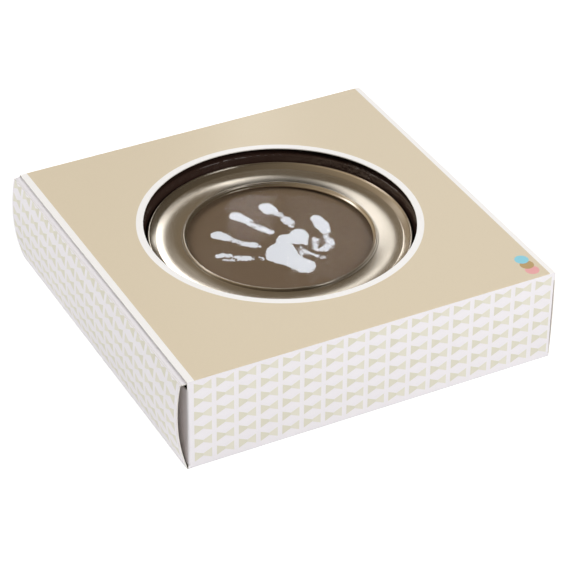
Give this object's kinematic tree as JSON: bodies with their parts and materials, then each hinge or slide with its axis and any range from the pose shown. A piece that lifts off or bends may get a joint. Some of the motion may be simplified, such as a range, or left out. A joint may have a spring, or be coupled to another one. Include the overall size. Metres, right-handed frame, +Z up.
{
  "type": "boxed handprint frame kit",
  "caption": "Square folded-board carton with a round window over a round cove-moulded picture frame that holds a handprint card, in a thermoformed insert with paint pot and papers.",
  "frame": {"origin": "middle of the carton's flat base, on the surface that it stands on", "axes": "+X to the right along the carton's front edge, +Y to the back, +Z up through the window"},
  "size_m": [0.2376, 0.231, 0.059],
  "materials": {
    "printed_top": "satin",
    "printed_side": "satin",
    "plain_board": "matte",
    "insert_plastic": "gloss",
    "frame_metal": "satin",
    "clear_pane": "gloss",
    "brown_card": "matte",
    "white_coat": "matte",
    "fibreboard": "matte",
    "zinc_steel": "satin",
    "brass_steel": "satin",
    "blue_paper": "matte",
    "tan_paper": "matte",
    "pink_paper": "matte",
    "pot_plastic": "satin",
    "lid_plastic": "satin",
    "liner_foam": "matte"
  },
  "bodies": {
    "carton": {"top_panel": "printed_top", "front_panel": "printed_side", "bottom_panel": "printed_side", "back_panel": "printed_side", "glue_flap": "plain_board", "dust_flap_left_front": "plain_board", "dust_flap_left_back": "plain_board", "dust_flap_right_front": "plain_board", "dust_flap_right_back": "plain_board", "insert_tray": "insert_plastic", "pink_papers": "pink_paper", "tan_papers": "tan_paper", "blue_papers": "blue_paper", "paint_pot": "pot_plastic", "white_paint": "white_coat"},
    "left_flap": {"left_end_flap": "printed_side"},
    "left_tab": {"left_tuck_tab": "printed_side"},
    "right_flap": {"right_end_flap": "printed_side"},
    "right_tab": {"right_tuck_tab": "printed_side"},
    "frame": {"frame_moulding": "frame_metal", "glazing_pane": "clear_pane", "display_card": "brown_card", "handprint": "white_coat", "backing_board": "fibreboard", "button_screws": "zinc_steel", "hanger_plate": "brass_steel", "hanger_nails": "brass_steel"},
    "button_1": {"turn_button_1": "zinc_steel"},
    "button_2": {"turn_button_2": "zinc_steel"},
    "button_3": {"turn_button_3": "zinc_steel"},
    "liner": {"lid_liner": "liner_foam"},
    "lid": {"paint_lid": "lid_plastic"}
  },
  "joints": [
    {"name": "left_flap_open", "type": "hinge", "parent": "carton", "child": "left_flap", "pos_m": [-0.1154, 0, 0.0003], "axis": [0, -1, 0], "range_deg": [0, 70]},
    {"name": "left_tab_fold", "type": "hinge", "parent": "left_flap", "child": "left_tab", "pos_m": [-0.1189, 0, 0.0575], "axis": [0, -1, 0], "range_deg": [-35, 0]},
    {"name": "right_flap_open", "type": "hinge", "parent": "carton", "child": "right_flap", "pos_m": [0.1154, 0, 0.0003], "axis": [0, 1, 0], "range_deg": [0, 85]},
    {"name": "right_tab_fold", "type": "hinge", "parent": "right_flap", "child": "right_tab", "pos_m": [0.1156, 0, 0.0575], "axis": [0, 1, 0], "range_deg": [-42.5, 0]},
    {"name": "frame_lift", "type": "slide", "parent": "carton", "child": "frame", "axis": [0, 0, 1], "range_m": [0, 0.08]},
    {"name": "button_1_turn", "type": "hinge", "parent": "frame", "child": "button_1", "pos_m": [0.0008, -0.0634, 0.0415], "axis": [0, 0, 1], "range_deg": [-90, 90]},
    {"name": "button_2_turn", "type": "hinge", "parent": "frame", "child": "button_2", "pos_m": [0.05709, 0.0341, 0.0415], "axis": [0, 0, 1], "range_deg": [-90, 90]},
    {"name": "button_3_turn", "type": "hinge", "parent": "frame", "child": "button_3", "pos_m": [-0.05549, 0.0341, 0.0415], "axis": [0, 0, 1], "range_deg": [-90, 90]},
    {"name": "liner_rise", "type": "slide", "parent": "carton", "child": "liner", "axis": [0, 0, 1], "range_m": [0, 0.0026]},
    {"name": "lid_turn", "type": "hinge", "parent": "liner", "child": "lid", "pos_m": [0.085, 0.0855, 0.05], "axis": [0, 0, 1], "range_deg": [0, 360]}
  ],
  "couplings": [
    {"joint": "left_tab_fold", "follows": "left_flap_open", "ratio": -0.5},
    {"joint": "right_tab_fold", "follows": "right_flap_open", "ratio": -0.5},
    {"joint": "liner_rise", "follows": "lid_turn", "m_per_rad": 0.0004}
  ]
}
